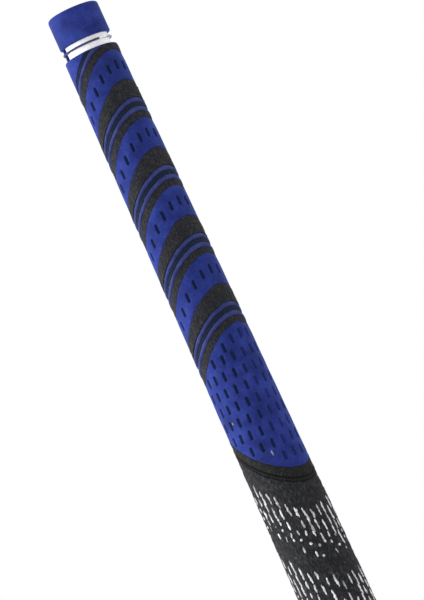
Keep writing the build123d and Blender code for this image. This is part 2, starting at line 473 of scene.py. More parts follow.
def wander(turn, place):
    """An edge a little off its true line, as where two rubbers flowed together. Edges keep straight at
    the body's mouth end. Strips that share an edge wander alike."""
    drift = EDGE_WANDER * grain(turn, place, 1.0, 51) + EDGE_DRIFT * grain(turn, place, 2.6, 52)
    return place + drift * ease(place, BODY_START, BODY_START + 0.6)


def strip(
    name, start_edge, end_edge, relief, columns=400, cell=0.2, run=None, depth=INLAY_DEPTH, key="slot"
):
    """Closed strip between two edges. relief(turn, place, to_edge) gives the height above the body's
    line in millimetres, and may give a second array, which becomes the attribute named by key. run holds
    the first and last heading of a strip that isn't a whole ring."""
    if run is None:
        turn = np.linspace(0, 2 * np.pi, columns, endpoint=False)
    else:
        turn = np.linspace(run[0], run[1], int(columns * (run[1] - run[0]) / (2 * np.pi)))
    start, end = wander(turn, start_edge(turn)) + GAP, wander(turn, end_edge(turn)) - GAP
    widest = float(np.max(end - start))
    rows = max(8, int(widest / cell) + 6)
    even = np.linspace(0, 1, rows)
    crowded = 0.5 - 0.5 * np.cos(np.pi * even)
    share = (0.6 * even + 0.4 * crowded)[:, None]
    place = start[None] * (1 - share) + end[None] * share
    to_edge = np.minimum(place - start[None], end[None] - place)
    heading = np.broadcast_to(turn[None], place.shape)
    lift = relief(heading, place, to_edge)
    lift, slot = lift if isinstance(lift, tuple) else (lift, np.zeros_like(place))
    corner = EDGE_DROP * (1 - ease(to_edge, 0, EDGE_ROUND)) ** 1.5
    radius = body_radius(place) - shoulder_drop(place) + lift - corner
    floor_place = np.stack([end, start])
    floor = np.broadcast_to(body_radius(floor_place) - depth, floor_place.shape)
    place, radius = np.vstack([place, floor_place]), np.vstack([radius, floor])
    slot = np.vstack([slot, np.zeros_like(floor)])
    rows += 2
    points = to_xyz(turn[None], place, radius)
    faces = grid_faces(rows, len(turn), True, run is None)
    caps = ()
    if run is not None:
        first = np.arange(rows) * len(turn)
        caps = (first.tolist(), (first + len(turn) - 1)[::-1].tolist())
    return make_mesh(name, points, faces, caps, {key: slot})


def flat(place):
    """A square edge at one distance from the mouth."""
    return lambda turn: np.full_like(turn, place)


def cut_by_body(edge):
    """An edge that stops at the body's mouth-side end."""
    return lambda turn: np.maximum(edge(turn), BODY_START)


# %% [markdown]
# ## Relief of the strips
# The blue fields lie on the body's line and carry the slots. The wide black bands stand a little
# proud of them, and the narrow ones lie a little low. Between the two, the thin line lies lower still,
# and the blue stripes on either side of it are crowned like piping. The black bands are rough: their
# fibre is real shape here, in two sizes of noise, so it shows on the outline too.

# %% Relief functions
STRIPE_LEVEL = -0.24  # heights over the body's line
STRIPE_CROWN = 0.36  # the rise of a blue stripe from its edges to its middle
LINE_LEVEL = -0.26
BAND_LEVEL = -0.06
WIDE_LEVEL = 0.08


def soft_unevenness(turn, place):
    return 0.025 * grain(turn, place, 5.0, 3) + 0.012 * grain(turn, place, 1.4, 4)


def piping(turn, place, to_edge):
    """Narrow stripe, crowned across its width like a bead. Its edges are darkened: painted shade where the
    crown falls away.
    """
    crown = ease(to_edge, 0, 0.85)
    edge_shade = 0.75 * (1 - ease(to_edge, 0.05, 0.55 + 0.2 * grain(turn, place, 0.9, 17)))
    return STRIPE_LEVEL + STRIPE_CROWN * crown + soft_unevenness(turn, place), edge_shade


def mouth_relief(turn, place, to_edge):
    return soft_unevenness(turn, place)


def fibres(level, height):
    """Relief of fibrous black rubber at a level: coarse and fine grain."""

    def relief(turn, place, to_edge):
        coarse = grain(turn, place, 1.1, 11, 1.5)
        fine = grain(turn, place, 0.5, 12, 1.3)
        rough = height * (0.6 * coarse + 0.5 * fine) * ease(to_edge, 0, 0.3)
        return level + soft_unevenness(turn, place) + rough

    return relief


# %% [markdown]
# ## Slots
# The slots are short grooves with round ends that lie along the grip. Each one is the set of points
# nearer than half a width to a short line, so its depth is a soft step of that distance. The rows in
# the narrow fields follow the wave, and those in the long panel run straight round, every other row
# shifted by half a step. We never loop over the slots: a point's nearest slot in a row is found by
# rounding its heading.

# %% Depth of the slots
SLOT_LENGTH = 3.5
SLOT_WIDTH = 1.25
SLOT_DEPTH = 0.42
WALL_INSIDE, WALL_OUTSIDE = 0.34, 0.12  # a slot's soft wall reaches this far in and out of its outline
SLOT_SHADE_FADE_RIGHT = 0.55  # in the long panel, the share of the slots' dark colour left off on the right of the front: painted light on the side in shade


def slot_depth(turn, place, first, step, middle_place, allowed=None):
    """0 outside a slot and 1 on its floor. first is the heading of one slot of the row, step the angle
    between slots, middle_place(heading) the middle of the slot at a heading, and allowed(heading) says
    whether there is a slot."""
    middle = first + np.round((turn - first) / step) * step
    across = (turn - middle) * body_radius(place)
    along = np.abs(place - middle_place(middle)) - (SLOT_LENGTH - SLOT_WIDTH) / 2
    uneven = 0.07 * grain(turn, place, 0.8, 15)
    distance = np.hypot(across, np.maximum(along, 0)) + uneven
    depth = 1 - ease(distance, SLOT_WIDTH / 2 - WALL_INSIDE, SLOT_WIDTH / 2 + WALL_OUTSIDE)
    return depth * allowed(middle) if allowed else depth


def slotted(row_list, right_fade=0.0):
    """Relief of a blue field with rows of slots. The second argument is the share of the slots' dark colour
    that is left off on the right of the front: painted light on the side in shade."""

    def relief(turn, place, to_edge):
        depth = np.max([slot_depth(turn, place, *row) for row in row_list], 0)
        lip = 0.02 * ease(to_edge, 0, 1.2)
        right = np.degrees((turn - FRONT + np.pi) % (2 * np.pi) - np.pi)
        # painted light: the slots' dark colour fades out on the right of the front, the side in shade
        dirt_and_shade_share = 1 - right_fade * ease(right, 0, 40) * (1 - ease(right, 100, 140))
        return soft_unevenness(turn, place) + lip - SLOT_DEPTH * depth, ease(depth, 0.1, 0.8) * dirt_and_shade_share

    return relief


# %% [markdown]
# ## The lower hand
# Five sets of rings, spaced evenly. We read the crest of each band off the frame: a slanted ring's
# highest point is its mouth-side edge at the heading. Each set gives a narrow band, a thin line
# before it and, from the second set on, a wide band before that. The blue strips then fill what is
# left between them, from the mouth to the long panel.

# %% Crests of the rings
# each kind of ring: its width at the crest, and the swings of its two edges
BAND_WIDTH, BAND_SWING, BAND_END_SWING = 2.3, 8.65, 10.25
LINE_WIDTH, LINE_SWING = 1.4, 8.4
WIDE_WIDTH, WIDE_SWING, WIDE_END_SWING = 6.45, 10.0, 8.2
BANDS = [span(f"band_inlay_{n}")[0] for n in range(1, 6)]
WIDES = [span(f"wide_inlay_{n}")[0] for n in range(1, 5)]
LINES = [span(f"line_inlay_{n}")[0] for n in range(2, 6)]
LINES = [LINES[0] - (BANDS[1] - BANDS[0])] + LINES  # the first line's crest would lie past the body's edge
PANEL_END = span("lower_skin")[1]
BREAK_END = span("break_band")[1]
print("crests of the narrow bands:", [round(b, 1) for b in BANDS], "panel to", round(PANEL_END, 1))


def edge(crest, swing):
    return lambda turn: wave(turn, crest, swing)


def band_edges(crest):
    return edge(crest, BAND_SWING), edge(crest + BAND_WIDTH, BAND_END_SWING)


def line_edges(crest):
    return edge(crest, LINE_SWING), edge(crest + LINE_WIDTH, LINE_SWING)


def wide_edges(crest):
    return edge(crest, WIDE_SWING), edge(crest + WIDE_WIDTH, WIDE_END_SWING)


def panel_end(turn):
    return back_wave(turn, PANEL_END)


def break_end(turn):
    return back_wave(turn, BREAK_END)


def open_run(crest, swing, margin=0.12):
    """Headings between which a wave with this crest lies beyond the body's start, going round the back."""
    reach = np.arccos(1 - (BODY_START + margin - crest) / swing)
    return RING_HEADING + reach, RING_HEADING + 2 * np.pi - reach


# %% Black inlays
for n, crest in enumerate(BANDS, 1):
    place_piece(
        strip(f"narrow_band_{n}", *band_edges(crest), fibres(BAND_LEVEL, 0.08), cell=0.25),
        INLAY, "inlay_rubber", f"band_inlay_{n}",
    )
for n, crest in enumerate(LINES, 1):
    start, end = line_edges(crest)
    run = None
    if n == 1:
        start, run = cut_by_body(start), open_run(crest + LINE_WIDTH, LINE_SWING)
    place_piece(
        strip(f"thin_line_{n}", start, end, fibres(LINE_LEVEL, 0.03), cell=0.25, run=run),
        LINE_BLACK, "inlay_rubber", f"line_inlay_{n}",
    )
for n, crest in enumerate(WIDES, 1):
    place_piece(
        strip(f"wide_band_{n}", *wide_edges(crest), fibres(WIDE_LEVEL, 0.11), cell=0.25),
        INLAY, "inlay_rubber", f"wide_inlay_{n}",
    )

# %% Blue stripes beside the thin lines
for n, (line, band) in enumerate(zip(LINES, BANDS), 1):
    start = line_edges(line)[1]
    if n == 1:
        start = cut_by_body(start)
    place_piece(
        strip(f"blue_stripe_{2 * n}", start, band_edges(band)[0], piping, cell=0.16, key="edge_shade"),
        PIPING, "blue_rubber", "lower_skin",
    )
for n, (wide, line) in enumerate(zip(WIDES, LINES[1:]), 2):
    place_piece(
        strip(
            f"blue_stripe_{2 * n - 1}", wide_edges(wide)[1], line_edges(line)[0], piping,
            cell=0.16, key="edge_shade",
        ),
        PIPING, "blue_rubber", "lower_skin",
    )
mouth_edge = line_edges(LINES[0])[0]
place_piece(
    strip("mouth_field", flat(BODY_START), mouth_edge, mouth_relief, run=open_run(LINES[0], LINE_SWING)),
    BLUE, "blue_rubber", "lower_skin",
)

# %% Blue fields with a row of slots
FIELD_SLOT_STEP = np.radians(360 / 17)
FIELD_SLOT_TURN = FRONT + np.radians(41.5)
FIELD_ROW = 5.4  # from a narrow band's far edge to the middle of its row of slots
FIELD_ROW_SWING = 10.4
for n, (band, wide) in enumerate(zip(BANDS, WIDES), 1):
    row = (FIELD_SLOT_TURN, FIELD_SLOT_STEP, edge(band + BAND_WIDTH + FIELD_ROW, FIELD_ROW_SWING))
    place_piece(
        strip(
            f"blue_field_{n}", band_edges(band)[1], wide_edges(wide)[0], slotted([row]),
            columns=520, cell=0.24,
        ),
        BLUE_SLOTTED, "blue_rubber", "lower_skin",
    )

# %% The long panel
PANEL_START = BANDS[-1] + BAND_WIDTH
FIRST_ROW = 9.8  # from the panel's crest to its first straight row
PANEL_ROWS = 8
PANEL_ROW_STEP = 5.25
PANEL_SLOT_STEP = np.radians(20.0)
ROW_TURN = FRONT + np.radians(10.8)
CREST_ROW = 3.7  # from the panel's edge to the row that follows it round the crest
CREST_ROOM = SLOT_LENGTH - 0.2  # that row's slots keep this far from the first straight row
START_ROOM = SLOT_LENGTH / 2 + 0.3  # a slot's middle stays this far from the panel's two edges
END_ROOM = SLOT_LENGTH / 2 + 0.9


def row_place(number):
    return PANEL_START + FIRST_ROW + number * PANEL_ROW_STEP


def crest_place(turn):
    return wave(turn, PANEL_START + CREST_ROW, BAND_END_SWING)


def panel_row(number):
    """One straight row. Odd rows are shifted by half a step, and a slot is there only where the whole of
    it lies in the panel."""
    at = row_place(number)

    def allowed(turn):
        inside = at - START_ROOM > wave(turn, PANEL_START, BAND_END_SWING)
        return inside & (at + END_ROOM < panel_end(turn))

    return ROW_TURN + (number % 2) * PANEL_SLOT_STEP / 2, PANEL_SLOT_STEP, flat(at), allowed


def crest_row():
    """The row at the crest: it goes on round until it would meet the first straight row."""

    def allowed(turn):
        return crest_place(turn) < row_place(0) - CREST_ROOM

    return ROW_TURN - PANEL_SLOT_STEP / 2, PANEL_SLOT_STEP, crest_place, allowed


place_piece(
    strip(
        "long_panel", edge(PANEL_START, BAND_END_SWING), panel_end,
        slotted([crest_row()] + [panel_row(k) for k in range(PANEL_ROWS)], SLOT_SHADE_FADE_RIGHT), columns=440, cell=0.26,
    ),
    BLUE_SLOTTED, "blue_rubber", "lower_skin",
)

# %% [markdown]
# Under the strips the blue compound is one thin tube, which the inlays rest on. It never shows, but
# it closes the body between the strips and the core.

# %% The tube under the strips
BASE_GAP = 0.02  # between the strips and the tube
BASE_COLUMNS = 96


def base_tube():
    """Closed tube whose section has four corners: its outer face lies just under the strips, and its
    inner face on the core."""
    turn = np.linspace(0, 2 * np.pi, BASE_COLUMNS, endpoint=False)
    start, end = flat(BODY_START)(turn), panel_end(turn)
    place = np.stack([start, end, end, start])
    depth = np.array([INLAY_DEPTH + BASE_GAP] * 2 + [CORE_STEP] * 2)[:, None]
    points = to_xyz(turn[None], place, body_radius(place) - depth)
    return make_mesh("lower_base", points, grid_faces(4, BASE_COLUMNS, True, True))


place_piece(base_tube(), BLUE, "blue_rubber", "lower_skin")

# %% [markdown]
# ## The break between the hands
# A plain black band closes the blue panel. Its far edge is marked by a thin raised line between two
# grooves, where the two halves of the mould meet. The band ends in that line, and the cord rubber of
# the upper hand starts just past it.

# %% Break band
RIDGE_HALF = 0.22  # from the band's far edge back to the middle of the ridge
RIDGE_HEIGHT = 0.12
GROOVE_WIDTH = 0.3  # the width over which a groove falls to a third of its depth
GROOVE_DEPTH = 0.34
FIRST_GROOVE = -0.95  # the grooves' places, counted from the band's far edge
SECOND_GROOVE = 0.42


def groove(past, middle):
    """Bell curve, 1 in the middle of a groove."""
    return np.exp(-(((past - middle) / GROOVE_WIDTH) ** 2))


def break_relief(turn, place, to_edge):
    """Fibrous rubber with a groove near its far edge, and the ridge of the mould line beyond it."""
    past = place - break_end(turn)
    cut = groove(past, FIRST_GROOVE)
    ridge = RIDGE_HEIGHT * groove(past, -RIDGE_HALF)
    return fibres(0.0, 0.09)(turn, place, to_edge) + ridge - GROOVE_DEPTH * cut, cut


place_piece(
    # the groove attribute darkens the break rubber in its groove: painted shade
    strip("break_ring", panel_end, break_end, break_relief, cell=0.16, depth=CORE_STEP, key="groove"),
    BREAK, "black_rubber", "break_band",
)

# %% [markdown]
# ## The upper hand
# The cord rubber is rougher than the rest, with a faint weave from the cloth moulded in it: cords
# along the grip, crossed by finer ones. Below it flares out to the cap. The frame gives both ends of
# the flare, and we ease the radius between them with a smooth curve that starts along the taper.

# %% Cord sleeve
FLARE_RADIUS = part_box("cord_sleeve")[1].x / MM
FLARE_LENGTH = 26.0
CORD_COLUMNS = 30
CROWDING = 1.25  # a power over 1 draws the sleeve's rows towards the mould line
WEAVE_HEIGHT = 0.05
WEAVE_STEP = 1.3  # along the grip, between crossing cords
PLY_START, PLY_END = span("cord_ply")
PLY_TOP = 1.1  # from the body's surface down to the ply


def sleeve_radius(place):
    """The taper, plus a rise that grows as the square of the way down the flare, with a softer end."""
    way = np.clip((place - (CAP_START - FLARE_LENGTH)) / FLARE_LENGTH, 0, 1)
    rise = FLARE_RADIUS - body_radius(CAP_START)
    return body_radius(place) + rise * way**2 * (1.35 - 0.35 * way)


def sleeve(name, columns=360, cell=0.41):
    """Black sleeve from the break to the cap. Its outer face has the weave and its inner wall steps out
    over the ply of cord cloth, which stays a piece of its own. Rows crowd towards the mould line."""
    turn = np.linspace(0, 2 * np.pi, columns, endpoint=False)
    start = wander(turn, break_end(turn)) + GAP
    rows = int((CAP_START - start.min()) / cell)
    share = np.linspace(0, 1, rows)[:, None] ** CROWDING
    place = start[None] * (1 - share) + CAP_START * share
    heading = np.broadcast_to(turn[None], place.shape)
    weave = WEAVE_HEIGHT * np.cos(CORD_COLUMNS * 2 * heading) * np.cos(np.pi * place / WEAVE_STEP)
    rough = 0.10 * grain(heading, place, 1.0, 21, 1.7) + 0.07 * grain(heading, place, 0.5, 22, 1.3)
    rough = rough + 0.06 * grain(heading, place, 2.2, 23, 0.6)
    from_start, from_cap = place - start[None], CAP_START - place
    calm = ease(np.minimum(from_start, from_cap), 0.1, 0.8)
    cut = groove(from_start, SECOND_GROOVE)
    corner = EDGE_DROP * (1 - ease(from_start, 0, EDGE_ROUND)) + 0.2 * (1 - ease(from_cap, 0, 0.3))
    radius = sleeve_radius(place) + soft_unevenness(heading, place) + (weave + rough) * calm
    radius = radius - GROOVE_DEPTH * cut - corner
    end, ply_start, ply_end = (np.full_like(turn, at) for at in (CAP_START, PLY_START, PLY_END))
    inner_place = np.stack([end, ply_end, ply_end, ply_start, ply_start, start])
    step = np.array([CORE_STEP, CORE_STEP, PLY_TOP, PLY_TOP, CORE_STEP, CORE_STEP])[:, None]
    place = np.vstack([place, inner_place])
    radius = np.vstack([radius, body_radius(inner_place) - step])
    points = to_xyz(turn[None], place, radius)
    # the groove attribute darkens the sleeve's rubber in its groove: painted shade
    groove_mark = np.vstack([cut, np.zeros_like(inner_place)])
    faces = grid_faces(rows + len(step), columns, True, True)
    return make_mesh(name, points, faces, marks={"groove": groove_mark})


place_piece(sleeve("upper_sleeve"), CORD_BLACK, "black_rubber", "cord_sleeve")

# %% [markdown]
# ## Cotton flecks
# Where the moulded sleeve is ground, the cotton cords of its cloth come through as white flecks, in
# columns round the grip. They gather in zones that follow the panel's wave: long flecks first, then
# shorter ones, then dots, then bare rubber. Ground thread is never a smooth grain of rice, so a fleck
# is a short string of long beads that run into each other, each a little aside of the last and of its
# own whiteness, and a dot is one round bead. A bead has a few dozen faces. We work out all of them in
# one array operation, with a seeded random generator.

# %% Where the flecks are
ZONE_STARTS = (182.6, 207.9, 232.4)
# one column of a zone: from the zone's start to the fleck's start, length, share of columns with it
ZONE_COLUMN = ((0.4, 3.2, 0.93), (5.0, 2.9, 0.88), (9.0, 1.9, 0.82), (12.5, 0.95, 0.92), (15.4, 1.0, 0.92))
FIRST_COLUMN = 0.95  # the first column's heading past the front, in steps between columns
FLECK_SLANT = 0.12  # sideways shift for each millimetre along
THIN_COLUMN = 22.5  # the sleeve was ground less near this column, so fewer flecks came through
BEAD_STEP = 0.72  # along the fleck, from bead to bead
BEAD_RISE = 0.24  # half a bead's height


def fleck_list():
    """Heading, place, length and paleness of every fleck."""
    rng = np.random.default_rng(8)
    found = []
    for zone_start in ZONE_STARTS:
        late = np.abs(rng.normal(0, 1.3, CORD_COLUMNS))  # millimetres by which each column starts late
        for offset, length, share in ZONE_COLUMN:
            turn = FRONT + (np.arange(CORD_COLUMNS) + FIRST_COLUMN) * 2 * np.pi / CORD_COLUMNS
            # the two columns nearest to the thin place keep fewer of their flecks
            thin = 1 - 0.3 * (np.abs(np.arange(CORD_COLUMNS) - THIN_COLUMN) < 1.5)
            keep = rng.random(CORD_COLUMNS) < share * thin
            turn = turn + rng.normal(0, 0.014, CORD_COLUMNS)
            long = length * rng.uniform(0.65, 1.4, CORD_COLUMNS)
            place = back_wave(turn, zone_start + offset) + late + rng.normal(0, 0.4, CORD_COLUMNS)
            pale = 1 - 0.75 * rng.uniform(0, 1, CORD_COLUMNS) ** 1.7  # more are pale than grey
            found.append(np.stack([turn, place, long, pale], -1)[keep])
    return np.concatenate(found)


def bead_list(flecks):
    """Heading, place, length, width and greyness of the beads that make up the flecks."""
    rng = np.random.default_rng(9)
    count = np.maximum(1, np.round(flecks[:, 2] / BEAD_STEP)).astype(int)
    owner = np.repeat(np.arange(len(flecks)), count)
    number = np.arange(len(owner)) - np.repeat(np.cumsum(count) - count, count)
    turn, place, long, pale = (flecks[owner, k] for k in range(4))
    down = number * BEAD_STEP + rng.normal(0, 0.09, len(owner))
    aside = FLECK_SLANT * (down - long / 2) + rng.normal(0, 0.09, len(owner))
    alone = count[owner] == 1
    # a fleck is thinner at both ends, and a bead alone makes a round dot
    thin_end = np.where((number == 0) | (number == count[owner] - 1), 0.82, 1.0)
    thin_end = np.where(alone, 1.2, thin_end)
    wide = rng.uniform(0.46, 0.92, len(owner)) * thin_end
    lengths = rng.uniform(1.3, 2.1, len(owner))
    lengths = lengths * np.where(alone, 0.62, np.where(count[owner] < 3, 0.8, 1.0))
    grey = np.clip(1 - pale + rng.normal(0, 0.16, len(owner)), 0, 0.85)
    at = place + down
    return np.stack([turn + aside / sleeve_radius(at), at, lengths, wide, grey], -1)


def beads(name, table, around=6, along=6):
    """All beads as one mesh. A bead's half width at u along it, from -1 to 1, goes as the square root
    of one minus u squared, its height over the rubber follows the same curve, and each of its points is
    then moved in or out a little."""
    rng = np.random.default_rng(10)
    u = np.sin(np.linspace(-0.5, 0.5, along) * np.pi * 0.94)
    v = np.linspace(0, 2 * np.pi, around, endpoint=False)
    turn, place, long, wide, grey = (table[:, k, None, None] for k in range(5))
    swell = np.sqrt(1 - u**2)[None, :, None]
    lumpy = 1 + 0.2 * rng.uniform(-1, 1, (len(table), along, around))
    side = np.cos(v)[None, None] * swell * lumpy * wide / 2
    up = np.sin(v)[None, None] * swell * lumpy * BEAD_RISE + 0.03
    at = place + u[None, :, None] * long / 2 + 0 * side
    points = to_xyz(turn + side / sleeve_radius(at), at, sleeve_radius(at) + up)
    size = along * around
    shift = np.arange(len(table)) * size
    faces = (grid_faces(along, around, False, True)[None] + shift[:, None, None]).reshape(-1, 4)
    ends = [(np.arange(around) + s).tolist() for s in shift]
    ends += [(np.arange(around)[::-1] + s + size - around).tolist() for s in shift]
    rubbed = np.clip(grey + 0.35 * (1 - swell) + 0 * side, 0, 1)
    return make_mesh(name, points, faces, ends, {"rubbed": rubbed})


FLECKS = fleck_list()
# two stray scraps of thread were caught in the blue panel
STRAYS = np.array([(FRONT + np.radians(2.5), 161.6, 1.4, 0.10), (FRONT - np.radians(43.0), 148.2, 0.6, 0.14)])
FLECKS = np.concatenate([FLECKS, STRAYS])
BEADS = bead_list(FLECKS)
place_piece(beads("cotton_flecks", BEADS), COTTON, "cotton_cord")
print(len(FLECKS), "flecks of", len(BEADS), "beads")

# %% [markdown]
# ## Collar, paint and rib
# The mouth end is turned, so a profile carried round the axis makes it. The collar's edges are
# rounded with arcs. On the neck behind it a thin rib parts two grooves, and paint lies in both. On
# one side a small tie of blue rubber crosses the grooves: painted shade, a dark piece where the edge
# of the painted neck is only in shade.

# %% Turned pieces
def arc(centre, size, first, last, count=8):
    """Points of an arc in the (place, radius) plane, in degrees, 0 along the place axis."""
    angle = np.radians(np.linspace(first, last, count))
    return np.stack([centre[0] + size * np.cos(angle), centre[1] + size * np.sin(angle)], -1)


def fill_in(corners, step=0.35):  # step in millimetres
    """The closed outline with extra points on its long sides, so that no face is long and thin."""
    corners = np.asarray(corners, float)
    following = np.roll(corners, -1, 0)
    length = np.linalg.norm(following - corners, axis=1)
    runs = [
        a + (b - a) * np.linspace(0, 1, max(1, int(d / step)), endpoint=False)[:, None]
        for a, b, d in zip(corners, following, length)
    ]
    return np.concatenate(runs)


def turned(name, outline, columns=256, relief=None, marks=None):
    """Closed outline of (place, radius) points carried round the axis. marks(turn, place, radius) gives
    the mesh's attributes."""
    turn = np.linspace(0, 2 * np.pi, columns, endpoint=False)
    outline = fill_in(outline)
    place, radius = (np.repeat(outline[:, k : k + 1], columns, 1) for k in range(2))
    heading = np.broadcast_to(turn[None], place.shape)
    found = marks(heading, place, radius) if marks else None
    if relief is not None:
        radius = radius + relief(heading, place, radius)
    faces = grid_faces(len(outline), columns, True, True)
    return make_mesh(name, to_xyz(heading, place, radius), faces, marks=found)


COLLAR_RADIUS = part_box("mouth_collar")[1].x / MM
BORE_RADIUS = 6.2
NECK_RADIUS = 7.4
COLLAR_END, RIB_START = span("white_ring_mouth")
RIB_END = span("white_ring_body")[0]
RIB_RADIUS = 8.8
PAINT_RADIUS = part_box("white_ring_mouth")[1].x / MM
MOUTH_ROUND = 1.2
BACK_ROUND = 0.45
RIB_ROUND = 0.2
MOUTH_BEVEL = 0.5
# the tie is painted shade: blue rubber across the white grooves where the neck's painted edge is only dark
TIE_TURN = FRONT - np.radians(74.0)
TIE_LOW = 0.25  # the tie stays this much below the rib
SMEAR_START, SMEAR_END = 33.0, 150.0  # the paint runs over the rib between these angles, to the right

collar_outline = np.concatenate([
    [(BODY_START, BORE_RADIUS), (BODY_START, NECK_RADIUS), (RIB_END, NECK_RADIUS)],
    arc((RIB_END - RIB_ROUND, RIB_RADIUS - RIB_ROUND), RIB_ROUND, 0, 90, 4),
    arc((RIB_START + RIB_ROUND, RIB_RADIUS - RIB_ROUND), RIB_ROUND, 90, 180, 4),
    [(RIB_START, NECK_RADIUS), (COLLAR_END, NECK_RADIUS)],
    arc((COLLAR_END - BACK_ROUND, COLLAR_RADIUS - BACK_ROUND), BACK_ROUND, 0, 90),
    arc((MOUTH_ROUND, COLLAR_RADIUS - MOUTH_ROUND), MOUTH_ROUND, 90, 180, 10),
    [(0, BORE_RADIUS + MOUTH_BEVEL), (MOUTH_BEVEL, BORE_RADIUS)],
])


def collar_relief(turn, place, radius):
    """Slight unevenness of the outer face, and the tie across the grooves, nearly as high as the rib. The tie
    is painted shade: a blue piece standing for the dark edge of the painted neck.
    """
    outer = ease(radius, COLLAR_RADIUS - 1.5, COLLAR_RADIUS - 0.2)
    uneven = outer * (0.03 * grain(turn, place, 4.0, 31) + 0.01 * grain(turn, place, 1.0, 32))
    aside = np.abs((turn - TIE_TURN + np.pi) % (2 * np.pi) - np.pi) * NECK_RADIUS
    on_neck = (radius < NECK_RADIUS + 0.01) * (radius > NECK_RADIUS - 0.01)
    in_groove = ease(place, COLLAR_END - 0.05, COLLAR_END) * on_neck
    return uneven + (RIB_RADIUS - NECK_RADIUS - TIE_LOW) * (1 - ease(aside, 0.35, 0.65)) * in_groove


def collar_marks(turn, place, radius):
    """The rib is darker than the collar, and on one side the paint has run over it: thick at first, and
    then only a thin film."""
    on_rib = (place > RIB_START - 0.01) * (place < RIB_END + 0.01) * (radius > NECK_RADIUS + 0.3)
    seen = np.degrees((turn - FRONT) % (2 * np.pi))
    smear = ease(seen, SMEAR_START - 3, SMEAR_START + 3) * (1 - ease(seen, SMEAR_END - 10, SMEAR_END))
    film = 1 - 0.45 * ease(seen, SMEAR_START + 18, SMEAR_START + 30)
    return {"rib": on_rib.astype(float), "paint": on_rib * smear * film}


place_piece(
    turned("collar", collar_outline, 384, collar_relief, collar_marks),
    BLUE_COLLAR, "blue_rubber", "mouth_collar",
)

# %% White paint in the grooves
CREEP = 0.16  # how far the paint climbs the walls of its groove


def paint_outline(start, end):
    """Section of the paint: its top is flat in the middle and rises steeply at both walls."""
    across = np.linspace(0, 1, 9)
    creep = CREEP * (np.abs(2 * across - 1) ** 4)
    top = np.stack([start + (end - start) * across, PAINT_RADIUS + creep], -1)
    return np.concatenate([top, [(end, NECK_RADIUS), (start, NECK_RADIUS)]])


def paint_relief(turn, place, radius):
    return 0.02 * grain(turn, place, 2.0, 41) * ease(radius, NECK_RADIUS + 0.1, PAINT_RADIUS)


for name, node in (("paint_ring_mouth", "white_ring_mouth"), ("paint_ring_body", "white_ring_body")):
    outline = paint_outline(*span(node))
    place_piece(turned(name, outline, 256, paint_relief), WHITE, "white_paint", node)

# %% [markdown]
# ## The cap
# The cap is moulded first and joined to the sleeve in the press. Its edge is turned over in a quarter
# ellipse, its face is flat with a painted ring, and a small vent runs through it.

# %% Butt cap
CAP_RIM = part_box("butt_cap")[1].x / MM
CAP_TOP = span("butt_cap")[0]
SPIGOT_RADIUS = 9.02
VENT = 1.6
VENT_BEVEL = 0.3
CAP_FACE = 10.5  # the radius at which the turned edge meets the flat face
CAP_TURN = 2.6  # the height of the turned edge
RING_INSIDE, RING_OUTSIDE, RING_DEPTH = 8.0, 9.0, 0.4
BREAK_EDGE = 0.08  # the ring groove's edges are broken by this much
PAINT_LOW, PAINT_EDGE = 0.16, 0.1  # the paint lies this far below the face, in its middle and at its edges

turned_edge = np.radians(np.linspace(0, 90, 12))
cap_outline = np.concatenate([
    [(CAP_TOP, VENT), (CAP_TOP, SPIGOT_RADIUS), (CAP_START, SPIGOT_RADIUS), (CAP_START, FLARE_RADIUS - 0.15)],
    [(CAP_START + 0.12, FLARE_RADIUS), (CAP_START + 0.5, CAP_RIM)],
    np.stack([
        LENGTH - CAP_TURN + CAP_TURN * np.sin(turned_edge),
        CAP_FACE + (CAP_RIM - CAP_FACE) * np.cos(turned_edge),
    ], -1),
    [(LENGTH, RING_OUTSIDE + BREAK_EDGE), (LENGTH - BREAK_EDGE, RING_OUTSIDE)],
    [(LENGTH - RING_DEPTH, RING_OUTSIDE), (LENGTH - RING_DEPTH, RING_INSIDE)],
    [(LENGTH - BREAK_EDGE, RING_INSIDE), (LENGTH, RING_INSIDE - BREAK_EDGE)],
    [(LENGTH, VENT + VENT_BEVEL), (LENGTH - VENT_BEVEL, VENT)],
])
place_piece(turned("cap", cap_outline, 256), BLUE, "blue_rubber", "butt_cap")
ring_outline = [
    (LENGTH - RING_DEPTH, RING_INSIDE), (LENGTH - PAINT_EDGE, RING_INSIDE),
    (LENGTH - PAINT_LOW, RING_INSIDE + 0.3), (LENGTH - PAINT_LOW, RING_OUTSIDE - 0.3),
    (LENGTH - PAINT_EDGE, RING_OUTSIDE), (LENGTH - RING_DEPTH, RING_OUTSIDE),
]
place_piece(turned("cap_paint", ring_outline, 256), WHITE, "white_paint", "cap_ring")

# %% [markdown]
# Two frame nodes have their true shape already and stay as they are: the core, which is seen down the
# bore, and the ply of cord cloth, which is hidden in the sleeve. They only need a finish.

# %% The core and the ply
CORE = fibre_rubber("core_rubber", (0.010, 0.010, 0.011), (0.03, 0.03, 0.03), (0.02, 0.02, 0.022), 0.02)
for node, material in (("core_sleeve", CORE), ("cord_ply", COTTON)):
    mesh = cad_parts[node].data
    mesh.materials.clear()
    mesh.materials.append(material)

# %% [markdown]
# ## Floor, light and camera
# The grip stands on a pale round floor that fades away at its edge. A strong soft light from the left
# gives the long bright side, a weak one from behind on the right keeps that edge off black, and a weak
# one in front softens the middle. A nearly white room fills the rest, and straight behind the grip it
# is pure white. The camera leans so that the grip runs from top left to bottom right, and it looks
# from a little towards the cap.

# %% Floor
FLOOR_RADIUS = 0.7
FLOOR_DROP = 0.0002  # the floor lies this far under the cap
FLOOR_COLUMNS = 96


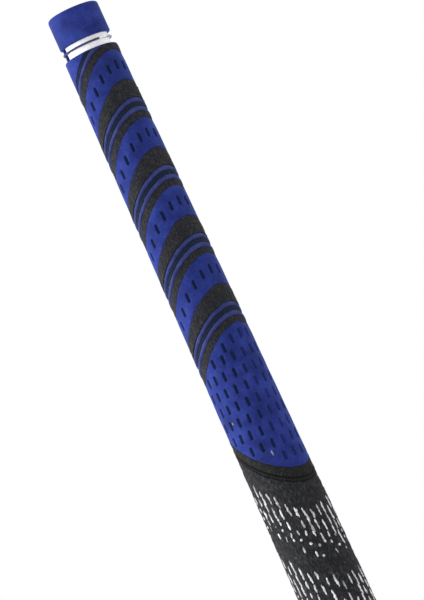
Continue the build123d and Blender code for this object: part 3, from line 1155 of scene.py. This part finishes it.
def floor_disc():
    """Flat disc just under the cap: rings of points that reach out to its radius."""
    turn = np.linspace(0, 2 * np.pi, FLOOR_COLUMNS, endpoint=False)
    radius = np.array([0.02, 0.05, 0.1, 0.2, 0.4, FLOOR_RADIUS])[:, None]
    x, y = radius * np.cos(turn), radius * np.sin(turn)
    points = np.stack([x, y, np.full_like(x, cad_low.z - FLOOR_DROP)], -1)
    rings = grid_faces(len(radius), FLOOR_COLUMNS, False, True)[:, ::-1].tolist()
    middle = [list(range(FLOOR_COLUMNS))]
    mesh = bpy.data.meshes.new("floor")
    mesh.from_pydata(points.reshape(-1, 3), [], rings + middle)
    mesh.update()
    disc = bpy.data.objects.new("floor", mesh)
    bpy.context.scene.collection.objects.link(disc)
    material, tree, shader, at = new_material("pale_floor")
    shader.inputs["Base Color"].default_value = (0.8, 0.8, 0.8, 1.0)
    shader.inputs["Roughness"].default_value = 0.9
    clear = tree.nodes.new("ShaderNodeBsdfTransparent")
    blend = tree.nodes.new("ShaderNodeMixShader")
    reach = tree.nodes.new("ShaderNodeVectorMath")
    reach.operation = "LENGTH"
    tree.links.new(at, reach.inputs[0])
    fade = tree.nodes.new("ShaderNodeMapRange")
    fade.inputs["From Min"].default_value = 0.3 * FLOOR_RADIUS
    fade.inputs["From Max"].default_value = 0.98 * FLOOR_RADIUS
    tree.links.new(reach.outputs["Value"], fade.inputs["Value"])
    tree.links.new(fade.outputs["Result"], blend.inputs["Fac"])
    tree.links.new(shader.outputs["BSDF"], blend.inputs[1])
    tree.links.new(clear.outputs["BSDF"], blend.inputs[2])
    output = next(n for n in tree.nodes if n.type == "OUTPUT_MATERIAL")
    tree.links.new(blend.outputs["Shader"], output.inputs["Surface"])
    disc.data.materials.append(material)
    return disc


floor_disc()

# %% Light
scene = bpy.context.scene
scene.view_settings.view_transform = "Standard"


def soft_light(name, place, size, power):
    """White square area light that faces the middle of the grip. size in metres, power in watts."""
    data = bpy.data.lights.new(name, "AREA")
    data.shape, data.size, data.energy = "SQUARE", size, power
    light = bpy.data.objects.new(name, data)
    light.location = place
    middle = Vector((0, 0, cad_high.z / 2))
    light.rotation_euler = (middle - Vector(place)).to_track_quat("-Z", "Y").to_euler()
    scene.collection.objects.link(light)


soft_light("key", (-1.15, -0.02, 0.45), 0.7, 19)
soft_light("rim", (1.04, 0.6, 0.4), 0.7, 1.5)
soft_light("fill", (-0.3, -1.1, 0.4), 0.9, 1.5)

world = bpy.data.worlds.new("studio")
world.use_nodes = True
scene.world = world
tree = world.node_tree
tree.nodes.clear()
room = tree.nodes.new("ShaderNodeBackground")  # lights the grip; the backdrop is only seen
room.inputs["Strength"].default_value = 0.95
backdrop = tree.nodes.new("ShaderNodeBackground")
backdrop.inputs["Strength"].default_value = 1.0
path = tree.nodes.new("ShaderNodeLightPath")
choose = tree.nodes.new("ShaderNodeMixShader")
sky = tree.nodes.new("ShaderNodeOutputWorld")
for background in (room, backdrop):
    background.inputs["Color"].default_value = (1, 1, 1, 1)
tree.links.new(path.outputs["Is Camera Ray"], choose.inputs["Fac"])
tree.links.new(room.outputs["Background"], choose.inputs[1])
tree.links.new(backdrop.outputs["Background"], choose.inputs[2])
tree.links.new(choose.outputs["Shader"], sky.inputs["Surface"])

# %% Camera
CAMERA_DISTANCE = 1.07
CAMERA_LEAN = np.radians(24.25)  # the grip's slope in the view, from upright
CAMERA_TILT = np.radians(3.5)  # it looks up by this much, from the cap's side
AIM = 106.1  # millimetres from the mouth
AIM_ASIDE = 3.35  # millimetres to the right of the axis, as the camera sees it
SENSOR_WIDTH = 36.0  # millimetres
FOCAL_LENGTH = 193.242  # millimetres, so that four fifths of the grip fill the view


def camera_basis():
    """Right, up and view directions. The view looks along +Y tilted towards the mouth; right and up are
    then turned about it by the lean."""
    across = np.array([1.0, 0, 0])
    view = np.array([0, np.cos(CAMERA_TILT), np.sin(CAMERA_TILT)])
    upright = np.array([0, -np.sin(CAMERA_TILT), np.cos(CAMERA_TILT)])
    right = np.cos(CAMERA_LEAN) * across - np.sin(CAMERA_LEAN) * upright
    up = np.sin(CAMERA_LEAN) * across + np.cos(CAMERA_LEAN) * upright
    return right, up, view


right, up, view = camera_basis()
target = np.array([0, 0, (LENGTH - AIM) * MM]) + right * AIM_ASIDE * MM
spot = target - view * CAMERA_DISTANCE
lens = bpy.data.cameras.new("camera")
lens.sensor_width = SENSOR_WIDTH
lens.lens = FOCAL_LENGTH
lens.clip_start, lens.clip_end = 0.05, 10.0
camera = bpy.data.objects.new("camera", lens)
camera.matrix_world = Matrix((
    (right[0], up[0], -view[0], spot[0]),
    (right[1], up[1], -view[1], spot[1]),
    (right[2], up[2], -view[2], spot[2]),
    (0, 0, 0, 1),
))
scene.collection.objects.link(camera)
scene.camera = camera
print("camera at", np.round(spot, 3).tolist(), "lens", round(lens.lens, 1))
